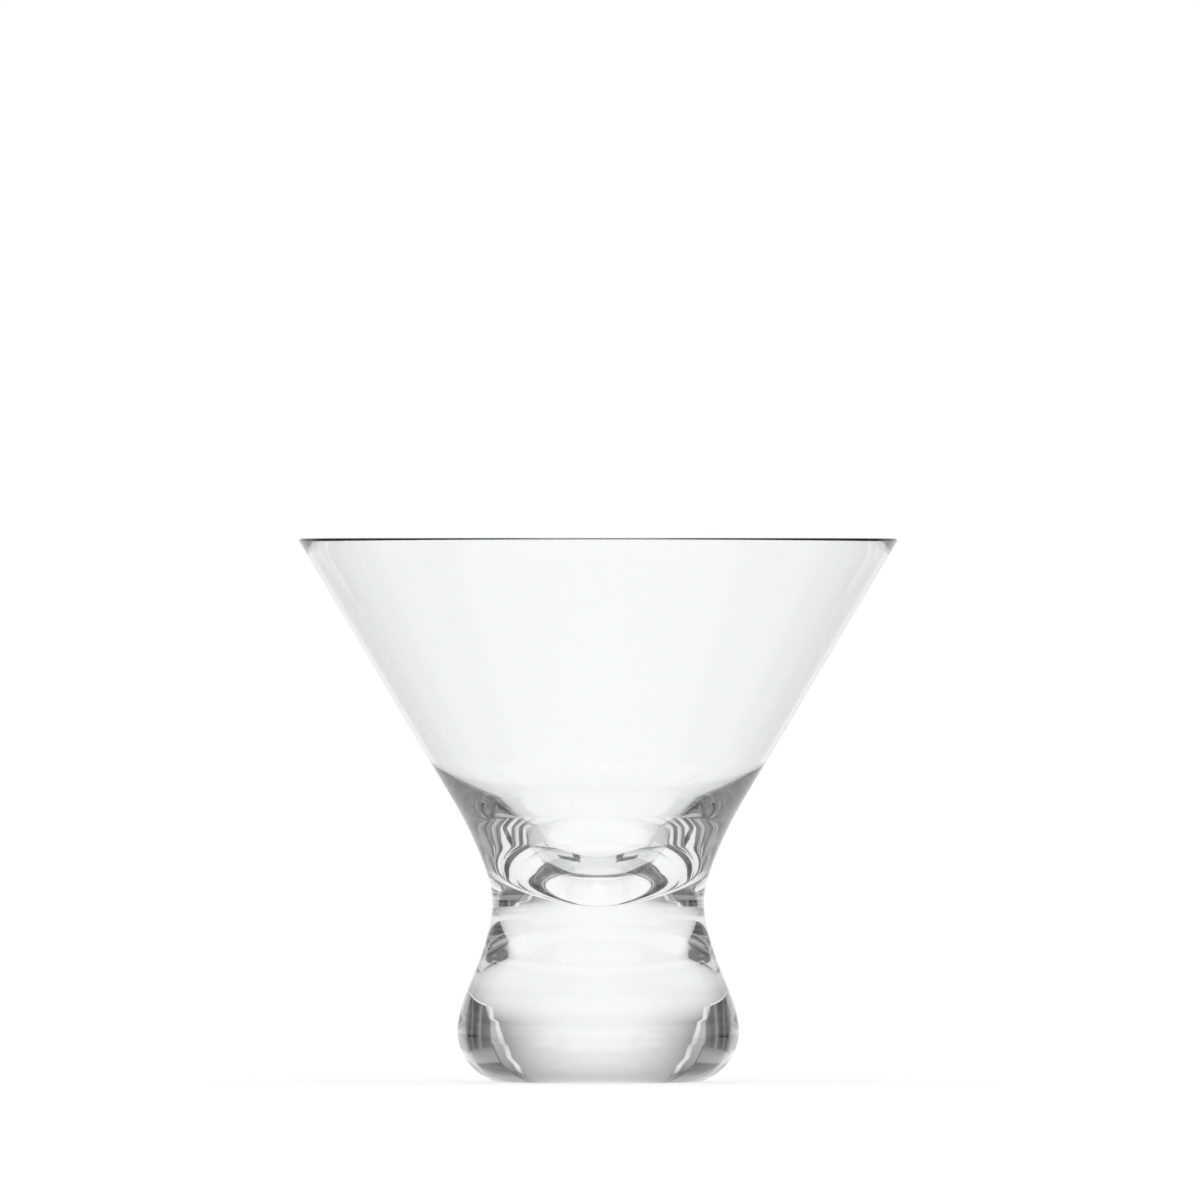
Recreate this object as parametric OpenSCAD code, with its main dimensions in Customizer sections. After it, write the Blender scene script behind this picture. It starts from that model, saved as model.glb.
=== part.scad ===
// A stemless cocktail glass: a thin V-shaped bowl, joined hot onto a solid waisted foot.
// Z is up, and the origin is the centre of the flat face that the glass stands on.
// Every outline is a list of [radius, height] points, and is turned about Z.
// The lean of a wall is its angle from upright in degrees, and is positive where the wall opens upwards.

/* [Overall] */
// Height of the glass
height = 105; // [96:0.5:118]
// Diameter across the rim
rim_d = 115.6; // [106:0.1:126]

/* [Bowl wall] */
// Thickness of the blown wall, which ends in a full round at the rim
wall_t = 0.8; // [0.6:0.05:1.6]
// Radius of the long hollow curve in which the neck flares into the cone
flare_r = 75.3; // [60:0.1:90]
// Height of the soft break below which the inside leaves the thin wall for the well
break_h = 58.6; // [57:0.1:60.5]
// Radius of that soft break
break_r = 36; // [25:0.5:42]

/* [Bowl well] */
// Lean of the well's side just below the soft break
well_top_lean = 44.8; // [43:0.1:46]
// Height of the hollow bend below which the well's side stands steeper
well_bend_h = 48.5; // [46.5:0.1:49.5]
// Radius of that hollow bend
well_bend_r = 67; // [50:1:110]
// Lean of the well's side below the bend
well_side_lean = 40.5; // [37:0.1:41]
// Radius of the curve between the well's side and the round at its bottom
well_curve_r = 28.7; // [26:0.1:33]
// Radius of the round at the bottom of the well
well_r = 9.4; // [7.5:0.1:11.5]
// Thickness of glass under the middle of the well
well_floor_t = 1.35; // [0.8:0.05:2.2]

/* [Waist] */
// Diameter at the waist, the narrowest place of the glass
waist_d = 40.9; // [38:0.1:43]
// Radius of the hollow neck round the waist
neck_r = 16; // [12:0.1:20]
// Lean at which the neck passes into the flare
neck_lean = 18.5; // [14:0.1:22]
// Inward lean of the wall at the weld between foot and bowl
weld_lean = 9.5; // [6:0.1:13]

/* [Foot] */
// Diameter across the bulge of the foot
foot_d = 54.4; // [52.5:0.1:58]
// Radius of the bulge, which sets the height of its widest place
bulge_r = 10.5; // [9:0.1:12]
// Inward lean at which the bulge passes into the shoulder
bulge_lean = 10; // [8:0.1:14]
// Radius of the shoulder above the bulge
shoulder_r = 26.3; // [22:0.1:30]
// Inward lean of the straight taper between shoulder and hollow
taper_lean = 22.2; // [20:0.1:25]
// Radius of the long hollow below the weld
hollow_r = 46.5; // [38:0.1:52]
// Lean at which the bulge passes into the rounded edge of the flat base
edge_lean = 71.4; // [64:0.1:78]
// Radius of the rounded edge of the flat base
edge_r = 0.4; // [0.2:0.05:1]

/* [Hidden] */
$fn = 96;

// Largest turn between two points of an arc, and the same along the small round of the rim
arc_step = 4;
rim_step = 20;

glass_colour = [0.86, 0.91, 0.92, 0.45];

function last(points) = points[len(points) - 1];
function reversed(points) = [for (i = [len(points) - 1:-1:0]) points[i]];

// Unit vectors along a wall of a given lean, and square to it, outwards and down.
function along(lean) = [sin(lean), cos(lean)];
function outward(lean) = [cos(lean), -sin(lean)];

// Points of an arc that goes on upwards from a start point while its lean changes.
// A hollow arc gains lean as it climbs, and a bulging one loses it.
function arc(start, lean_from, lean_to, r, step = arc_step) =
    let (steps = ceil(abs(lean_to - lean_from) / step), way = lean_to > lean_from ? 1 : -1)
    [for (i = [1:steps])
        let (lean = lean_from + (lean_to - lean_from) * i / steps)
        start + way * r * (outward(lean_from) - outward(lean))];

// Points that round a corner between two straight walls, from the end of the lower wall upwards.
function rounded(corner, lean_from, lean_to, r) =
    let (start = corner - r * tan(abs(lean_to - lean_from) / 2) * along(lean_from))
    concat([start], arc(start, lean_from, lean_to, r));

// Lean of the straight wall that ends at a point and is tangent to a circle.
// The point is given from the circle's centre, and the circle lies outside the wall.
function tangent_lean(point, r) =
    atan2(point.x, point.y) + atan2(r, sqrt(point * point - r * r));

// Foot: the radii are settled from the bulge and the waist, and the straight taper closes the outline.
foot_r = foot_d / 2;
weld_r = waist_d / 2 + neck_r * (1 - cos(weld_lean));
base_r = foot_r - bulge_r * (1 - cos(edge_lean)) - edge_r * cos(edge_lean);
drawn_in = bulge_r * (1 - cos(bulge_lean))
    + shoulder_r * (cos(bulge_lean) - cos(taper_lean))
    + hollow_r * (cos(weld_lean) - cos(taper_lean));
taper_l = (foot_r - drawn_in - weld_r) / sin(taper_lean);

base_edge = [base_r, 0];
edge = arc(base_edge, 90, edge_lean, edge_r);
low_bulge = arc(last(edge), edge_lean, 0, bulge_r);
high_bulge = arc(last(low_bulge), 0, -bulge_lean, bulge_r);
shoulder = arc(last(high_bulge), -bulge_lean, -taper_lean, shoulder_r);
taper_top = last(shoulder) + taper_l * along(-taper_lean);
hollow = arc(taper_top, -taper_lean, -weld_lean, hollow_r);
weld = last(hollow);

// Bowl, outside: the neck, then the flare up to the straight cone that touches the round of the rim.
neck = arc(weld, -weld_lean, neck_lean, neck_r);
flare_centre = last(neck) + flare_r * outward(neck_lean);
rim_r = wall_t / 2;
rim_centre = [rim_d / 2 - rim_r, height - rim_r];
cone_lean = tangent_lean(rim_centre - flare_centre, flare_r + rim_r);
flare = arc(last(neck), neck_lean, cone_lean, flare_r);
rim_outside = rim_centre + rim_r * outward(cone_lean);
rim_lip = arc(rim_outside, cone_lean, 0, rim_r, rim_step);
rim_front = arc(last(rim_lip), 0, -90, rim_r, rim_step);
rim_back = arc(last(rim_front), -90, cone_lean - 180, rim_r, rim_step);

// Bowl, inside, from the rim down: the thin wall, the soft break, and the side of the well with its bend.
rim_inside = last(rim_back);
break_point = rim_inside - (rim_inside.y - break_h) / cos(cone_lean) * along(cone_lean);
soft_break = rounded(break_point, well_top_lean, cone_lean, break_r);
bend_point = break_point - (break_h - well_bend_h) / cos(well_top_lean) * along(well_top_lean);
well_bend = rounded(bend_point, well_side_lean, well_top_lean, well_bend_r);

// The curve below touches the side of the well and the round at the bottom, which settles its centre:
// it slides along a line beside the well's side until the round just fits into the curve.
well_bottom = [0, weld.y + well_floor_t];
round_centre = well_bottom + [0, well_r];
beside = bend_point - well_curve_r * outward(well_side_lean) - round_centre;
run = beside * along(well_side_lean);
spare_r = well_curve_r - well_r;
slide = sqrt(run * run - beside * beside + spare_r * spare_r) - run;
curve_centre = beside + slide * along(well_side_lean);
well_turn = atan2(curve_centre.y, -curve_centre.x);
well_round = arc(well_bottom, 90, well_turn, well_r);
well_curve = arc(last(well_round), well_turn, well_side_lean, well_curve_r);

foot_outline = concat(
    [[0, 0], base_edge], edge, low_bulge, high_bulge, shoulder, [taper_top], hollow, [[0, weld.y]]);
bowl_outline = concat(
    [[0, weld.y], weld], neck, flare, [rim_outside], rim_lip, rim_front, rim_back,
    reversed(soft_break), reversed(well_bend), reversed(well_curve), reversed(well_round), [well_bottom]);

// The blown bowl, from the flat weld face up to the round of the rim.
module bowl() {
    color(glass_colour)
        rotate_extrude()
            polygon(bowl_outline);
}

// The solid foot, from the flat face that it stands on up to the flat weld face.
module foot() {
    color(glass_colour)
        rotate_extrude()
            polygon(foot_outline);
}

bowl();
foot();
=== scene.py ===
"""A stemless cocktail glass in clear glass, on a white table with plain soft studio light.

The glass is two lathed pieces, the blown bowl and the solid foot, which meet at a hot weld. Each piece is an
outline of [radius, height] points turned about Z, and each outline is a chain of arcs and straight walls. The
lean of a wall is its angle from upright, and is positive where the wall opens upwards.
"""

import math

import bpy
import numpy as np
from bpy.props import FloatProperty, FloatVectorProperty, IntProperty, PointerProperty
from bpy.types import Operator, Panel, PropertyGroup
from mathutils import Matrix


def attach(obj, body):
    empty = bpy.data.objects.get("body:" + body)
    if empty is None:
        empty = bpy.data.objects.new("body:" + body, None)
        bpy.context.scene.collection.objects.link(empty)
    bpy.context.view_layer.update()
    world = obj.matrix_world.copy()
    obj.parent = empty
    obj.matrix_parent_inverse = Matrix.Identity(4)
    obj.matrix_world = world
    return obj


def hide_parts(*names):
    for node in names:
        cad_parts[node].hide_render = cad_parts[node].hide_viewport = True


bl_info = {
    "name": "Stemless Cocktail Glass",
    "version": (1, 0, 0),
    "blender": (4, 5, 0),
    "location": "View3D > Sidebar > Glass",
    "description": "Makes a clear stemless cocktail glass and the white table it is shown on",
    "category": "Add Mesh",
}

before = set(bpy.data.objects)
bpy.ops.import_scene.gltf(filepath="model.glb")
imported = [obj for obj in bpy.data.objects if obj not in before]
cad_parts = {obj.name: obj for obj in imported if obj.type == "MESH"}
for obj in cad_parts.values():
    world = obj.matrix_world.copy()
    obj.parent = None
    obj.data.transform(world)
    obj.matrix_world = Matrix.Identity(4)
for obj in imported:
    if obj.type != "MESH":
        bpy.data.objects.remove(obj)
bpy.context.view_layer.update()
MM = 0.001


def length(name, description, millimetres):
    """A size of the glass, kept in metres."""
    return FloatProperty(
        name=name, description=description, default=millimetres * MM, min=0.0, precision=5,
        subtype="DISTANCE", unit="LENGTH",
    )


def angle(name, description, degrees):
    """A lean or a bearing, kept in radians."""
    return FloatProperty(
        name=name, description=description, default=math.radians(degrees), subtype="ANGLE", unit="ROTATION",
    )


class BowlSizes(PropertyGroup):
    """Sizes of the blown bowl."""

    height: length("Height", "Height of the rim above the table", 105)
    rim_diameter: length("Rim diameter", "Diameter across the rim", 115.6)
    wall: length("Wall", "Thickness of the blown wall", 0.8)
    flare_radius: length("Flare radius", "Radius of the hollow curve between neck and cone", 75.3)
    break_height: length("Break height", "Height of the soft break between thin wall and well", 58.6)
    break_radius: length("Break radius", "Radius of that soft break", 36)
    well_top_lean: angle("Well top lean", "Lean of the side of the well just below the soft break", 44.8)
    well_bend_height: length("Well bend height", "Height of the hollow bend in the side of the well", 48.5)
    well_bend_radius: length("Well bend radius", "Radius of that hollow bend", 67)
    well_side_lean: angle("Well side lean", "Lean of the side of the well below the bend", 40.5)
    well_curve_radius: length("Well curve radius", "Radius of the curve between side and bottom round", 28.7)
    well_radius: length("Well radius", "Radius of the round at the bottom of the well", 9.4)
    well_floor: length("Well floor", "Glass under the middle of the well, above the weld", 1.35)


class FootSizes(PropertyGroup):
    """Sizes of the solid foot and of the waist that it shares with the bowl."""

    waist_diameter: length("Waist diameter", "Diameter at the narrowest place", 40.9)
    neck_radius: length("Neck radius", "Radius of the hollow neck round the waist", 16)
    neck_lean: angle("Neck lean", "Lean at which the neck passes into the flare", 18.5)
    weld_lean: angle("Weld lean", "Inward lean of the wall at the weld", 9.5)
    diameter: length("Foot diameter", "Diameter across the bulge", 54.4)
    bulge_radius: length("Bulge radius", "Radius of the bulge", 10.5)
    bulge_lean: angle("Bulge lean", "Inward lean at which the bulge passes into the shoulder", 10)
    shoulder_radius: length("Shoulder radius", "Radius of the shoulder above the bulge", 26.3)
    taper_lean: angle("Taper lean", "Inward lean of the straight taper", 22.2)
    hollow_radius: length("Hollow radius", "Radius of the long hollow below the weld", 46.5)
    edge_lean: angle("Edge lean", "Lean at which the bulge passes into the rounded edge of the base", 71.4)
    edge_radius: length("Edge radius", "Radius of the rounded edge of the base", 0.4)


class GlassLook(PropertyGroup):
    """Finish of the glass."""

    tint: FloatVectorProperty(
        name="Tint", description="Colour that the glass lends to light on its way through",
        subtype="COLOR", size=3, min=0.0, max=1.0, default=(0.992, 0.994, 0.994),
    )
    bend: FloatProperty(name="Refractive index", description="How much the glass bends light", default=1.52)
    segments: IntProperty(name="Segments", description="Steps round the glass", default=360, min=24)
    ring_step: angle("Ring step", "Largest turn between two rings of an arc", 1.0)
    waviness: length("Waviness", "Height of the slow waves left by blowing", 0.004)


class StudioLook(PropertyGroup):
    """The table, the light and the camera."""

    table_radius: length("Table radius", "Radius of the white table", 1500)
    distance: length("Distance", "Distance of the camera from the axis of the glass", 7340)
    eye_height: length("Eye height", "Height of the camera", 93.1)
    aside: length("Aside", "How far the camera stands to the right of the glass", 0.35)
    frame_width: length("Frame width", "Width of the picture at the glass", 231.9)
    bounces: IntProperty(
        name="Bounces", description="How often light may turn inside the thick glass", default=48, min=8,
    )


def along(lean):
    """Unit vector that climbs a wall of a given lean."""
    return np.stack([np.sin(lean), np.cos(lean)], -1)


def outward(lean):
    """Unit vector square to a wall of a given lean, outwards and down."""
    return np.stack([np.cos(lean), -np.sin(lean)], -1)


def arc(start, lean_from, lean_to, radius, step):
    """Points of an arc that climbs from a start point while its lean goes from one value to another.

    Each point is the start plus the radius times the change of the outward vector. That puts the centre on
    the outer side where the lean grows and on the inner side where it shrinks.
    """
    steps = max(2, math.ceil(abs(lean_to - lean_from) / step))
    lean = np.linspace(lean_from, lean_to, steps + 1)[1:]
    way = 1.0 if lean_to > lean_from else -1.0
    return start + way * radius * (outward(lean_from) - outward(lean))


def straight(start, end, steps):
    """Points that cut the straight wall between two points into equal steps, without the start."""
    return start + np.linspace(0.0, 1.0, steps + 1)[1:, None] * (end - start)


def rounded(corner, lean_from, lean_to, radius, step):
    """Points that round the corner between two straight walls, from the end of the lower wall upwards."""
    start = corner - radius * math.tan(abs(lean_to - lean_from) / 2) * along(lean_from)
    return np.concatenate([start[None], arc(start, lean_from, lean_to, radius, step)])


def tangent_lean(point, radius):
    """Lean of the straight wall that ends at a point and is tangent to a circle about the zero point."""
    return math.atan2(point[0], point[1]) + math.atan2(radius, math.sqrt(point @ point - radius * radius))


def foot_outline(foot, step):
    """Outer outline of the foot from the edge of its base up to the weld, as rings of radius and height.

    The bulge, the shoulder and the hollow are arcs that follow each other. A straight taper between shoulder
    and hollow takes up what is left between the radius of the bulge and the radius of the weld.
    """
    bulge_r = foot.diameter / 2
    weld_r = foot.waist_diameter / 2 + foot.neck_radius * (1 - math.cos(foot.weld_lean))
    base_r = (
        bulge_r
        - foot.bulge_radius * (1 - math.cos(foot.edge_lean))
        - foot.edge_radius * math.cos(foot.edge_lean)
    )
    drawn_in = (
        foot.bulge_radius * (1 - math.cos(foot.bulge_lean))
        + foot.shoulder_radius * (math.cos(foot.bulge_lean) - math.cos(foot.taper_lean))
        + foot.hollow_radius * (math.cos(foot.weld_lean) - math.cos(foot.taper_lean))
    )
    taper = (bulge_r - drawn_in - weld_r) / math.sin(foot.taper_lean)
    points = [np.array([[base_r, 0.0]])]
    points.append(arc(points[-1][-1], math.pi / 2, foot.edge_lean, foot.edge_radius, step * 2))
    points.append(arc(points[-1][-1], foot.edge_lean, -foot.bulge_lean, foot.bulge_radius, step))
    points.append(arc(points[-1][-1], -foot.bulge_lean, -foot.taper_lean, foot.shoulder_radius, step))
    taper_top = points[-1][-1] + taper * along(-foot.taper_lean)
    points.append(straight(points[-1][-1], taper_top, 4))
    points.append(arc(taper_top, -foot.taper_lean, -foot.weld_lean, foot.hollow_radius, step / 2))
    return np.concatenate(points)


def bowl_outlines(bowl, foot, weld, step):
    """Outer outline of the bowl from the weld over the rim, and its inner outline down into the well.

    Outside, the neck and the flare are arcs up to the straight cone, which is tangent to the flare and to the
    round of the rim. Inside, the thin wall runs parallel to the cone down to the soft break, and the straight
    side of the well, rounded at its bend, goes on to a curve that touches both the side and the round at the
    bottom. The curve's centre lies on a line beside the side of the well, one curve radius away from it. Seen
    from the round's centre, it is at a distance of curve radius less round radius.
    """
    rim_r = bowl.wall / 2
    neck = arc(weld, -foot.weld_lean, foot.neck_lean, foot.neck_radius, step)
    flare_centre = neck[-1] + bowl.flare_radius * outward(foot.neck_lean)
    rim_centre = np.array([bowl.rim_diameter / 2 - rim_r, bowl.height - rim_r])
    cone = tangent_lean(rim_centre - flare_centre, bowl.flare_radius + rim_r)
    flare = arc(neck[-1], foot.neck_lean, cone, bowl.flare_radius, step / 2)
    rim_outside = rim_centre + rim_r * outward(cone)
    rim = arc(rim_outside, cone, 0.0, rim_r, step * 10)
    rim = np.concatenate([rim, arc(rim[-1], 0.0, -math.pi / 2, rim_r, step * 10)])
    rim = np.concatenate([rim, arc(rim[-1], -math.pi / 2, cone - math.pi, rim_r, step * 10)])
    outer = [weld[None], neck, flare, straight(flare[-1], rim_outside, 16), rim]

    break_point = rim[-1] - (rim[-1][1] - bowl.break_height) / math.cos(cone) * along(cone)
    soft_break = rounded(break_point, bowl.well_top_lean, cone, bowl.break_radius, step / 2)
    top_length = (bowl.break_height - bowl.well_bend_height) / math.cos(bowl.well_top_lean)
    bend_point = break_point - top_length * along(bowl.well_top_lean)
    bend = rounded(bend_point, bowl.well_side_lean, bowl.well_top_lean, bowl.well_bend_radius, step / 2)

    bottom = np.array([0.0, weld[1] + bowl.well_floor])
    side_way = along(bowl.well_side_lean)
    beside = bend_point - bowl.well_curve_radius * outward(bowl.well_side_lean)
    beside = beside - bottom - (0.0, bowl.well_radius)
    run = beside @ side_way
    spare = bowl.well_curve_radius - bowl.well_radius
    curve_centre = beside + (math.sqrt(run * run - beside @ beside + spare * spare) - run) * side_way
    turn = math.atan2(curve_centre[1], -curve_centre[0])
    well_round = arc(bottom, math.pi / 2, turn, bowl.well_radius, step)
    curve = arc(well_round[-1], turn, bowl.well_side_lean, bowl.well_curve_radius, step / 2)
    inner = [
        bottom[None], well_round, curve, straight(curve[-1], bend[0], 3), bend[1:],
        straight(bend[-1], soft_break[0], 3), soft_break[1:], straight(soft_break[-1], rim[-1], 16)[:-1],
    ]
    return np.concatenate(outer), np.concatenate(inner)[::-1]


DISC_RINGS = 4
DISC_SHARES = (0.985, 0.94, 0.12)


def disc_rings(radius, height):
    """Rings of a flat disc from its edge inwards, without the edge itself and the middle."""
    first, second, last = DISC_SHARES
    shares = np.concatenate([[first], np.linspace(second, last, DISC_RINGS)])
    return np.stack([radius * shares, np.full(len(shares), height)], -1)


def lathe(name, outline, segments, sharp_rings=()):
    """A closed mesh whose surface at turn t and step u is (r(u) cos t, r(u) sin t, z(u)).

    The outline starts and ends on the axis, where its first and last points become the two poles. Every other
    point becomes a ring of vertices, and the faces point away from the outline's left-hand side.
    """
    turn = np.linspace(0.0, 2 * math.pi, segments, endpoint=False)
    rings = outline[1:-1]
    count = len(rings)
    co = np.empty((count * segments + 2, 3))
    co[:-2, 0] = (rings[:, :1] * np.cos(turn)).ravel()
    co[:-2, 1] = (rings[:, :1] * np.sin(turn)).ravel()
    co[:-2, 2] = np.repeat(rings[:, 1], segments)
    co[-2], co[-1] = (0.0, 0.0, outline[0, 1]), (0.0, 0.0, outline[-1, 1])

    here = np.arange(count * segments).reshape(count, segments)
    following = np.roll(here, -1, axis=1)
    quads = np.stack([here[:-1], following[:-1], following[1:], here[1:]], -1).reshape(-1, 4)
    first = np.stack([np.full(segments, count * segments), following[0], here[0]], -1)
    last = np.stack([np.full(segments, count * segments + 1), here[-1], following[-1]], -1)

    corners = np.concatenate([first.ravel(), quads.ravel(), last.ravel()])
    sizes = np.concatenate([np.full(segments, 3), np.full(len(quads), 4), np.full(segments, 3)])
    starts = np.concatenate([[0], np.cumsum(sizes)[:-1]])
    mesh = bpy.data.meshes.new(name)
    mesh.vertices.add(len(co))
    mesh.vertices.foreach_set("co", co.ravel())
    mesh.loops.add(len(corners))
    mesh.loops.foreach_set("vertex_index", corners.astype(np.int32))
    mesh.polygons.add(len(sizes))
    mesh.polygons.foreach_set("loop_start", starts.astype(np.int32))
    mesh.update(calc_edges=True)
    if mesh.validate():
        raise RuntimeError(f"the mesh of {name} is not sound")
    mesh.shade_smooth()

    if sharp_rings:
        ends = np.empty(len(mesh.edges) * 2, np.int32)
        mesh.edges.foreach_get("vertices", ends)
        ring_of = ends.reshape(-1, 2) // segments
        sharp = np.isin(ring_of[:, 0], sharp_rings) & (ring_of[:, 0] == ring_of[:, 1])
        mesh.attributes.new("sharp_edge", "BOOLEAN", "EDGE").data.foreach_set("value", sharp)
    piece = bpy.data.objects.new(name, mesh)
    bpy.context.scene.collection.objects.link(piece)
    return piece


def paint_rings(piece, segments, first_ring, last_ring, index):
    """Gives a material index to the faces between two rings, counted so that ring -1 is the first pole."""
    faces = piece.data.polygons
    materials = np.zeros(len(faces), np.int32)
    row = np.arange(len(faces)) // segments - 1
    materials[(row >= first_ring) & (row < last_ring)] = index
    faces.foreach_set("material_index", materials)


class Wire:
    """An output socket that Python expressions use as a number."""

    def __init__(self, tree, socket):
        self.tree = tree
        self.socket = socket

    def maths(self, operation, *others, clamp=False):
        """One Math node on this number and others."""
        return self.tree.node(
            "ShaderNodeMath", {"operation": operation, "use_clamp": clamp}, dict(enumerate((self, *others)))
        )

    def __add__(self, other):
        return self.maths("ADD", other)

    __radd__ = __add__

    def __sub__(self, other):
        return self.maths("SUBTRACT", other)

    def __rsub__(self, other):
        return self.tree.node("ShaderNodeMath", {"operation": "SUBTRACT"}, {0: other, 1: self})

    def __mul__(self, other):
        return self.maths("MULTIPLY", other)

    __rmul__ = __mul__

    def __truediv__(self, other):
        return self.maths("DIVIDE", other)

    def __abs__(self):
        return self.maths("ABSOLUTE")

    def between(self, low, high):
        """0 below the low value, 1 above the high one, and a smooth slope between them."""
        return self.tree.node(
            "ShaderNodeMapRange", {"interpolation_type": "SMOOTHSTEP"},
            {"Value": self, "From Min": low, "From Max": high},
        )

    def ramp(self, stops, soft=False):
        """A grey ramp, given as pairs of position and brightness, on straight lines or on a soft curve."""
        return self.tree.node("ShaderNodeValToRGB", {"stops": (stops, soft)}, {"Fac": self})

    def curve(self, points, soft=False):
        """The value at this number, on lines that join the given points or on a soft curve near them."""
        low, high = points[0][0], points[-1][0]
        most = max(value for _, value in points)
        stops = [((place - low) / (high - low), value / most) for place, value in points]
        return ((self - low) / (high - low)).ramp(stops, soft) * most

    def towards(self, other, amount):
        """This number where the amount is 0, and the other where it is 1."""
        return self * (1 - amount) + other * amount


class Tree:
    """The node tree of a material or a world, emptied and built anew."""

    def __init__(self, owner):
        owner.use_nodes = True
        self.nodes = owner.node_tree.nodes
        self.links = owner.node_tree.links
        self.nodes.clear()

    def node(self, kind, settings=None, values=None, out=0):
        """A node of any kind. Settings and ramp stops are set first, then sockets are filled or linked."""
        made = self.nodes.new(kind)
        for name, value in (settings or {}).items():
            if name == "stops":
                self.set_stops(made.color_ramp, *value)
            else:
                setattr(made, name, value)
        for name, value in (values or {}).items():
            if isinstance(value, Wire):
                self.links.new(value.socket, made.inputs[name])
            else:
                made.inputs[name].default_value = value
        return Wire(self, made.outputs[out]) if len(made.outputs) else made

    def set_stops(self, ramp, stops, soft):
        """Fills a colour ramp with grey stops."""
        ramp.interpolation = "B_SPLINE" if soft else "LINEAR"
        while len(ramp.elements) < len(stops):
            ramp.elements.new(1.0)
        for element, (place, grey) in zip(ramp.elements, stops):
            element.position = place
            element.color = (grey, grey, grey, 1.0)

    def vector(self, x, y, z):
        """A vector from three numbers."""
        return self.node("ShaderNodeCombineXYZ", values={"X": x, "Y": y, "Z": z})

    def parts(self, vector):
        """The X, Y and Z of a vector."""
        first = self.node("ShaderNodeSeparateXYZ", values={"Vector": vector})
        return [Wire(self, socket) for socket in first.socket.node.outputs]


def polished_glass(look):
    """Clear, fire-polished glass: smooth, with slow waves from blowing."""
    material = bpy.data.materials.new("polished_glass")
    tree = Tree(material)
    place = tree.node("ShaderNodeTexCoord", out="Object")
    slow = tree.node("ShaderNodeTexNoise", values={"Vector": place, "Scale": 60.0, "Detail": 2.0})
    height = slow * look.waviness
    bump = tree.node("ShaderNodeBump", values={"Strength": 1.0, "Distance": 1.0, "Height": height})
    surface = tree.node(
        "ShaderNodeBsdfPrincipled",
        values={
            "Base Color": (*look.tint, 1.0), "Roughness": 0.0, "IOR": look.bend, "Transmission Weight": 1.0,
            "Normal": bump,
        },
    )
    tree.node("ShaderNodeOutputMaterial", values={"Surface": surface})
    return material


def weld_face():
    """The face where bowl and foot are fused. It has no surface of its own: light goes straight through."""
    material = bpy.data.materials.new("fused_weld")
    tree = Tree(material)
    clear = tree.node("ShaderNodeBsdfTransparent")
    tree.node("ShaderNodeOutputMaterial", values={"Surface": clear})
    return material


def glass_and_weld(look):
    """The two materials that both pieces share."""
    known = bpy.data.materials
    return known.get("polished_glass") or polished_glass(look), known.get("fused_weld") or weld_face()


def seen(tree):
    """Two masks: rays that come straight from the camera, and rays that come by way of metal or glass."""
    paths = tree.node("ShaderNodeLightPath", out="Is Camera Ray")
    outputs = paths.socket.node.outputs
    glossy = Wire(tree, outputs["Is Glossy Ray"])
    through = Wire(tree, outputs["Is Transmission Ray"])
    return paths, glossy.maths("MAXIMUM", through)


WHITE = (1.0, 1.0, 1.0, 1.0)

# The white table where it is seen, as a lit part, a glow and its grain, and the table for other light
TABLE_LIT = 0.3
TABLE_GLOW = 0.72
TABLE_GRAIN = 0.01
TABLE_UNSEEN = 0.8


def white_table():
    """Matt white: a lit surface that keeps the shadow of the glass, over a white glow with a fine grain."""
    material = bpy.data.materials.new("white_table")
    tree = Tree(material)
    place = tree.node("ShaderNodeTexCoord", out="Object")
    grain = tree.node("ShaderNodeTexNoise", values={"Vector": place, "Scale": 900.0, "Detail": 3.0})
    lit = (TABLE_LIT, TABLE_LIT, TABLE_LIT, 1.0)
    matt = tree.node("ShaderNodeBsdfDiffuse", values={"Color": lit})
    strength = TABLE_GLOW + TABLE_GRAIN * grain
    glow = tree.node("ShaderNodeEmission", values={"Color": WHITE, "Strength": strength})
    both = tree.node("ShaderNodeAddShader", values={0: matt, 1: glow})
    unseen = (TABLE_UNSEEN, TABLE_UNSEEN, TABLE_UNSEEN, 1.0)
    soft = tree.node("ShaderNodeBsdfDiffuse", values={"Color": unseen})
    camera, glass = seen(tree)
    shown = tree.node("ShaderNodeMixShader", values={0: camera.maths("MAXIMUM", glass), 1: soft, 2: both})
    tree.node("ShaderNodeOutputMaterial", values={"Surface": shown})
    return material


# The studio as the glass sees it, in degrees. The bearing is 0 straight behind the glass and 180 at the
# camera, the side is the bearing folded at 90, and the climb is the height above level.

# Side of the edge of the backdrop, by climb
BACKDROP_EDGE = (
    (-8, 45), (-6, 38.8), (-4, 37.7), (-1, 37.3), (0, 34.8), (1, 31.6), (2, 29.8), (4, 29.1), (8, 28.5),
    (10, 27), (12, 25.9), (20, 25.5), (26, 26), (34, 27.5), (45, 32),
)

# Side where the dark wall begins, by climb
WALL_EDGE = ((-8, 45.5), (-4, 43), (-2, 42), (0.2, 40.5), (2, 38.5), (10, 36), (20, 32), (30, 31), (45, 34))

# Brightness of the middle of the backdrop, by climb
BACKDROP_TONES = (
    (-14, 0.985), (-7, 0.975), (-3, 0.955), (0, 0.915), (2, 0.885), (5, 0.845), (9, 0.78), (13, 0.71),
    (20, 0.6), (26, 0.54), (30, 0.6), (38, 0.63), (45, 0.95),
)

# Share of its light that the backdrop has lost at the fall side, by climb, and the most that it can lose
BACKDROP_FALL = (
    (-30, 0.02), (-24, 0.03), (-18, 0.09), (-14, 0.15), (-10, 0.22), (-8, 0.26), (-6, 0.37), (-4, 0.5),
    (-2, 0.66), (-1, 0.72), (0, 0.88), (1, 1.04), (2, 1.16), (28, 1.2),
)
FALL_SIDE = 40.0
MOST_FALL = 0.9

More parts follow.
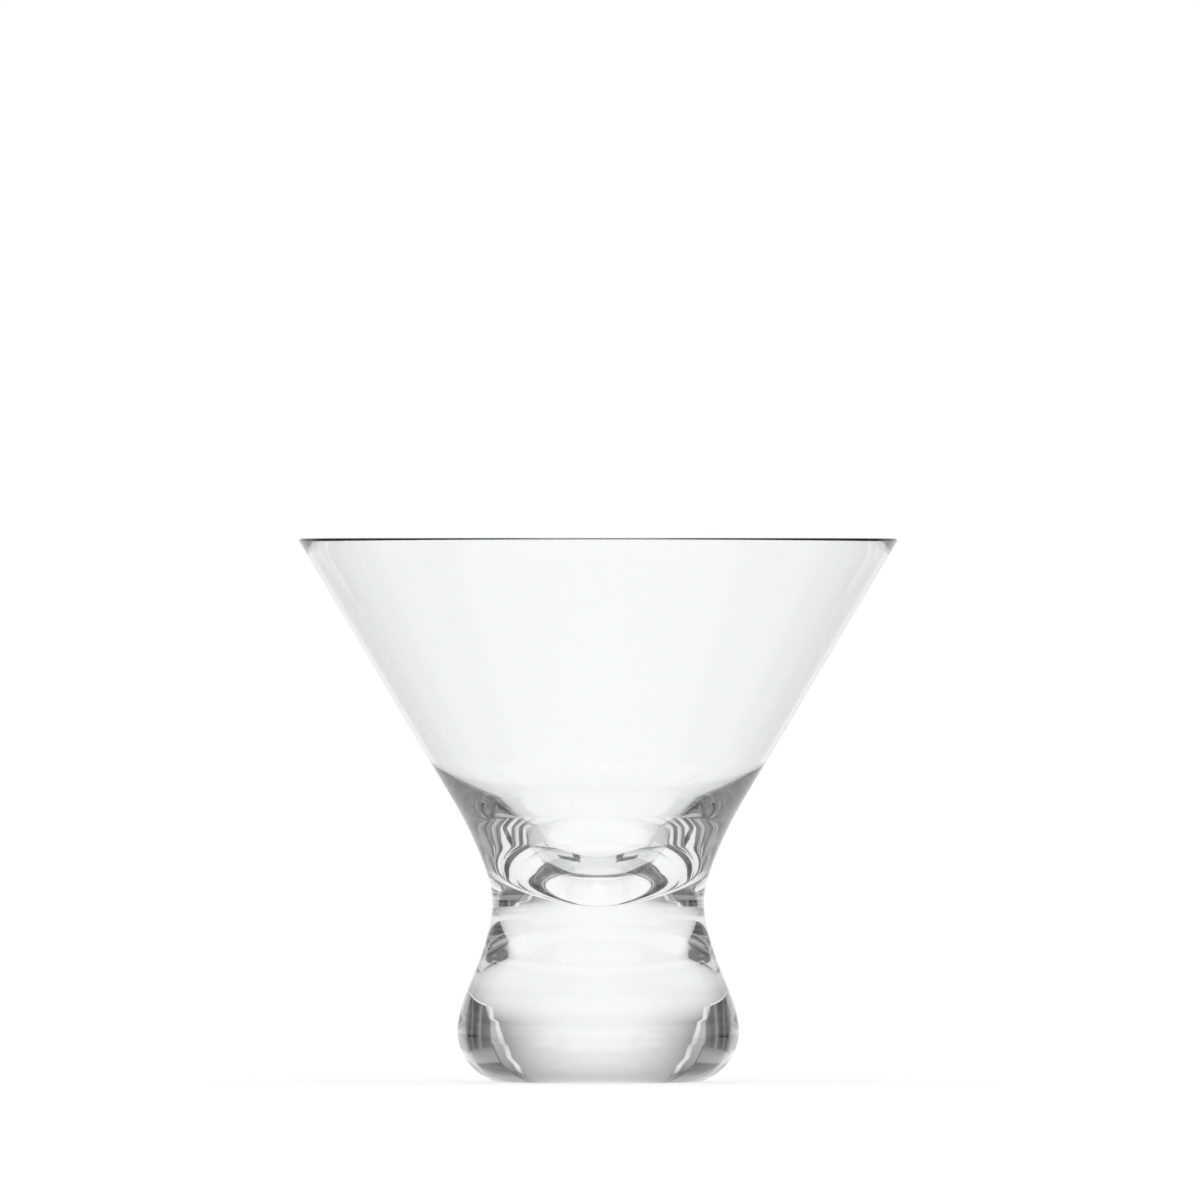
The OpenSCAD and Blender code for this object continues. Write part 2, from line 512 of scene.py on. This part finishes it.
# Brightness of the bright strip along the edge of the backdrop, by climb
STRIP_TONES = (
    (-8, 0.8), (-1, 0.84), (0.4, 0.8), (1.5, 0.6), (5, 0.74), (9, 0.76), (13, 0.82), (17, 0.6), (22, 0.2),
)
STRIP_WIDTH = 2.8

# Brightness of the gap between strip and wall, by climb
GAP_TONES = (
    (-6, 0.66), (-3, 0.5), (-1, 0.48), (1, 0.46), (2, 0.42), (8, 0.36), (12, 0.28), (15, 0.22), (19, 0.11),
    (40, 0.14),
)
GAP_SHADOW = 0.6

# Brightness of the lower wall, by side, and of the upper wall, by climb
WALL_TONES = (
    (40, 0.16), (43.5, 0.1), (45.5, 0.1), (47, 0.25), (48.2, 0.19), (49.5, 0.09), (51, 0.045), (53, 0.03),
    (54.3, 0.07), (55, 0.16), (56, 0.1), (57, 0.005), (58.5, 0.01), (61, 0.08), (63, 0.18), (66, 0.38),
    (70, 0.5), (76, 0.62), (84, 0.85), (88, 1.0),
)
HIGH_WALL_TONES = (
    (3, 0.2), (6, 0.3), (9, 0.31), (10.5, 0.28), (11.6, 0.08), (14, 0.1), (18, 0.1), (22, 0.14), (26, 0.2),
    (36, 0.3),
)
FAR_HIGH_WALL = 0.55
WALL_SLOPE = 0.08
STRIPE_LEAN = 0.35
STREAK_DEPTH = 1.6

# The far edge of the table: its drop below level behind the glass, and the further drop per degree of side
TABLE_DROP = 1.7
TABLE_SLOPE = 0.11

# Climbs over which the walls give way to the white ceiling
CEILING = (44.0, 52.0)

# Dark things in the room, as bearings, climbs, softness of the edge and depth of the dark
ROOM = (
    ((116, 152), (-41, -28.5), 1.5, 0.78),
    ((143.5, 154), (-30, -5), 1.5, 0.85),
    ((95.5, 106), (-8, 11), 1.5, 0.72),
    ((105, 117), (9, 17), 1.5, 0.8),
    ((159, 200), (2, 12), 1.5, 0.75),
    ((166, 200), (30, 44), 2.0, 0.8),
)
HALF_DARK_ROOM = 0.4
CLUTTER_DEPTH = 0.9
DARKEST_ROOM = 0.97

# Lift of light that has passed the four surfaces of the bowl, and loss of light that has turned more often
BOWL_LIFT = 0.85
THICK_GLASS_LOSS = 0.62

# The table's heights and the radius of its inner ring, in metres, and its steps round
TABLE_TOP = -0.0001
TABLE_UNDERSIDE = -0.02
TABLE_MIDDLE = 0.3
TABLE_SEGMENTS = 96


def window(bearing, climb, bearings, climbs, soft):
    """1 for directions inside a window and 0 outside it, with soft sides."""
    left, right = bearings
    low, high = climbs
    return (
        bearing.between(left - soft, left + soft) * (1 - bearing.between(right - soft, right + soft))
        * climb.between(low - soft, low + soft) * (1 - climb.between(high - soft, high + soft))
    )


def backdrop_tone(side, climb):
    """Brightness of the backdrop, which falls off with the square of the side."""
    fall = side * side * (climb.curve(BACKDROP_FALL, soft=True) / FALL_SIDE**2)
    return climb.curve(BACKDROP_TONES, soft=True) * (1 - fall.maths("MINIMUM", MOST_FALL))


def wall_tone(tree, side, climb):
    """Brightness of the dark wall: upright stripes in its lower part and soft streaks in its upper part."""
    height = climb - WALL_SLOPE * (side - 40)
    leaning = side.between(52.0, 56.0) * (1 - side.between(60.0, 60.5))
    lean = STRIPE_LEAN * leaning * climb.maths("MINIMUM", 0.0)
    lower = (side + lean).curve(WALL_TONES)
    place = tree.vector(side * 0.25, climb * 0.06, 0.0)
    streaks = tree.node("ShaderNodeTexNoise", values={"Vector": place, "Scale": 1.0, "Detail": 3.0})
    upper = height.curve(HIGH_WALL_TONES) * (1 + STREAK_DEPTH * (streaks - 0.5) * height.between(14.0, 20.0))
    upper = upper.towards(FAR_HIGH_WALL, side.between(56.0, 66.0))
    return lower.towards(upper, height.between(2.2, 3.4))


def studio_tone(tree, side, climb):
    """Brightness of the studio: backdrop, bright strip, gap and wall, with the table below and the ceiling."""
    from_edge = side - climb.curve(BACKDROP_EDGE)
    from_wall = side - climb.curve(WALL_EDGE)
    backdrop = backdrop_tone(side, climb)
    gap = climb.curve(GAP_TONES) * (1 - GAP_SHADOW * from_wall.between(-1.6, -0.3))
    tone = backdrop.towards(gap, from_edge.between(-0.2, 0.2))
    tone = tone.towards(wall_tone(tree, side, climb), from_wall.between(-0.2, 0.2))
    strip = from_edge.between(-0.1, 0.7) * (1 - (from_edge - STRIP_WIDTH).between(-0.7, 0.4))
    tone = tone.towards(climb.curve(STRIP_TONES), strip)

    above_table = climb + TABLE_DROP + TABLE_SLOPE * side
    tone = backdrop.towards(tone, above_table.between(-0.3, 0.3))
    glint = above_table.between(-0.6, 0.0) * (1 - above_table.between(0.0, 0.6))
    tone = tone.towards(1.0, glint * side.between(43.0, 44.0) * (1 - side.between(66.0, 70.0)))
    return tone.towards(1.0, climb.between(*CEILING))


def room_shade(tree, bearing, climb):
    """Share of the light that the dark things in the room keep from the glass."""
    place = tree.vector(bearing * 0.12, climb * 0.12, 3.0)
    clutter = tree.node("ShaderNodeTexNoise", values={"Vector": place, "Scale": 1.0, "Detail": 4.0})
    room = HALF_DARK_ROOM * bearing.between(92.0, 97.0)
    room = room * climb.between(5.0, 10.0) * (1 - climb.between(*CEILING))
    for bearings, climbs, soft, depth in ROOM:
        room = room.maths("MAXIMUM", window(bearing, climb, bearings, climbs, soft) * depth)
    room = room * (1 + CLUTTER_DEPTH * (clutter - 0.5))
    return room.maths("MINIMUM", DARKEST_ROOM)


def after_turns(tree, tone, side, climb):
    """The tone after the turns of a ray inside the glass.

    Light that has passed the four surfaces of the bowl near its middle is lifted towards white. Light that
    has turned more often is dimmed, which stands in for what the thick glass takes away.
    """
    turns = tree.node("ShaderNodeLightPath", out="Ray Depth")
    through_bowl = turns.between(2.0, 4.0) * (1 - turns.between(4.0, 6.0))
    middle = (1 - side.between(8.0, 24.0)) * (1 - climb.between(2.0, 6.0))
    tone = tone.towards(1.0, BOWL_LIFT * through_bowl * middle)
    return tone * (1 - THICK_GLASS_LOSS * turns.between(5.2, 8.0))


def studio_surroundings(world):
    """White to the camera. The glass sees a white backdrop and table, dark walls and a white ceiling."""
    tree = Tree(world)
    direction = tree.node("ShaderNodeTexCoord", out="Generated")
    x, y, z = tree.parts(direction)
    bearing = abs(x).maths("ARCTAN2", y) * (180 / math.pi)
    side = 90 - abs(90 - bearing)
    climb = z.maths("ARCSINE") * (180 / math.pi)

    tone = studio_tone(tree, side, climb) * (1 - room_shade(tree, bearing, climb))
    tone = after_turns(tree, tone, side, climb)
    glass = seen(tree)[1]
    strength = 1 - glass * (1 - tone)
    background = tree.node("ShaderNodeBackground", values={"Color": WHITE, "Strength": strength})
    tree.node("ShaderNodeOutputWorld", values={"Surface": background})


class GLASS_OT_set_table(Operator):
    """Set up the white table, the soft light and the camera"""

    bl_idname = "glass.set_table"
    bl_label = "Table, light and camera"

    def execute(self, context):
        studio = context.scene.glass_studio
        outline = np.array([
            [0.0, TABLE_UNDERSIDE], [studio.table_radius, TABLE_UNDERSIDE], [studio.table_radius, TABLE_TOP],
            [TABLE_MIDDLE, TABLE_TOP], [0.0, TABLE_TOP],
        ])
        table = lathe("table_top", outline, TABLE_SEGMENTS, (0, 1))
        table.data.materials.append(white_table())
        table.visible_glossy = False
        table.visible_transmission = False

        world = bpy.data.worlds.new("soft_studio")
        context.scene.world = world
        studio_surroundings(world)
        context.scene.view_settings.view_transform = "Standard"
        light_paths = context.scene.cycles
        light_paths.max_bounces = studio.bounces
        light_paths.transmission_bounces = studio.bounces
        light_paths.glossy_bounces = studio.bounces
        light_paths.transparent_max_bounces = studio.bounces

        camera_data = bpy.data.cameras.new("camera")
        camera_data.lens = camera_data.sensor_width * studio.distance / studio.frame_width
        camera_data.clip_end = 50.0
        camera = bpy.data.objects.new("camera", camera_data)
        camera.location = (studio.aside, -studio.distance, studio.eye_height)
        camera.rotation_euler = (math.pi / 2, 0.0, 0.0)
        context.scene.collection.objects.link(camera)
        context.scene.camera = camera
        return {"FINISHED"}


class GLASS_OT_make_foot(Operator):
    """Make the solid foot from its base up to the weld"""

    bl_idname = "glass.make_foot"
    bl_label = "Foot"

    def execute(self, context):
        scene = context.scene
        look = scene.glass_look
        outer = foot_outline(scene.glass_foot, look.ring_step)
        base = disc_rings(outer[0, 0], 0.0)[::-1]
        weld = disc_rings(outer[-1, 0], outer[-1, 1])
        outline = np.concatenate([[[0.0, 0.0]], base, outer, weld, [[0.0, outer[-1, 1]]]])
        weld_ring = len(base) + len(outer) - 1
        piece = lathe("foot_glass", outline, look.segments, (weld_ring,))
        for material in glass_and_weld(look):
            piece.data.materials.append(material)
        paint_rings(piece, look.segments, weld_ring, len(outline), 1)
        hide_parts("foot")
        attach(piece, "root")
        return {"FINISHED"}


class GLASS_OT_make_bowl(Operator):
    """Make the blown bowl from the weld up to the rim and down into its well"""

    bl_idname = "glass.make_bowl"
    bl_label = "Bowl"

    def execute(self, context):
        scene = context.scene
        look = scene.glass_look
        weld_point = foot_outline(scene.glass_foot, look.ring_step)[-1]
        outer, inner = bowl_outlines(scene.glass_bowl, scene.glass_foot, weld_point, look.ring_step)
        weld = disc_rings(outer[0, 0], outer[0, 1])[::-1]
        outline = np.concatenate([[[0.0, outer[0, 1]]], weld, outer, inner])
        piece = lathe("bowl_glass", outline, look.segments, (len(weld),))
        for material in glass_and_weld(look):
            piece.data.materials.append(material)
        paint_rings(piece, look.segments, -1, len(weld), 1)
        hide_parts("bowl")
        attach(piece, "root")
        return {"FINISHED"}


class GLASS_PT_sidebar(Panel):
    """Sizes, finish and buttons of the glass"""

    bl_label = "Stemless Cocktail Glass"
    bl_idname = "GLASS_PT_sidebar"
    bl_space_type = "VIEW_3D"
    bl_region_type = "UI"
    bl_category = "Glass"

    def draw(self, context):
        for owner in GROUPS:
            box = self.layout.box()
            group = getattr(context.scene, owner)
            for name in group.__annotations__:
                box.prop(group, name)
        for operator in OPERATORS:
            self.layout.operator(operator.bl_idname)


GROUPS = {
    "glass_bowl": BowlSizes,
    "glass_foot": FootSizes,
    "glass_look": GlassLook,
    "glass_studio": StudioLook,
}
OPERATORS = (GLASS_OT_set_table, GLASS_OT_make_foot, GLASS_OT_make_bowl)


def register():
    for cls in (*GROUPS.values(), *OPERATORS, GLASS_PT_sidebar):
        bpy.utils.register_class(cls)
    for owner, cls in GROUPS.items():
        setattr(bpy.types.Scene, owner, PointerProperty(type=cls))


def unregister():
    for owner in GROUPS:
        delattr(bpy.types.Scene, owner)
    for cls in (GLASS_PT_sidebar, *reversed(OPERATORS), *reversed(GROUPS.values())):
        bpy.utils.unregister_class(cls)


def main():
    """Makes the table and both pieces."""
    register()
    bpy.ops.glass.set_table()
    bpy.ops.glass.make_foot()
    bpy.ops.glass.make_bowl()


if __name__ == "__main__":
    main()
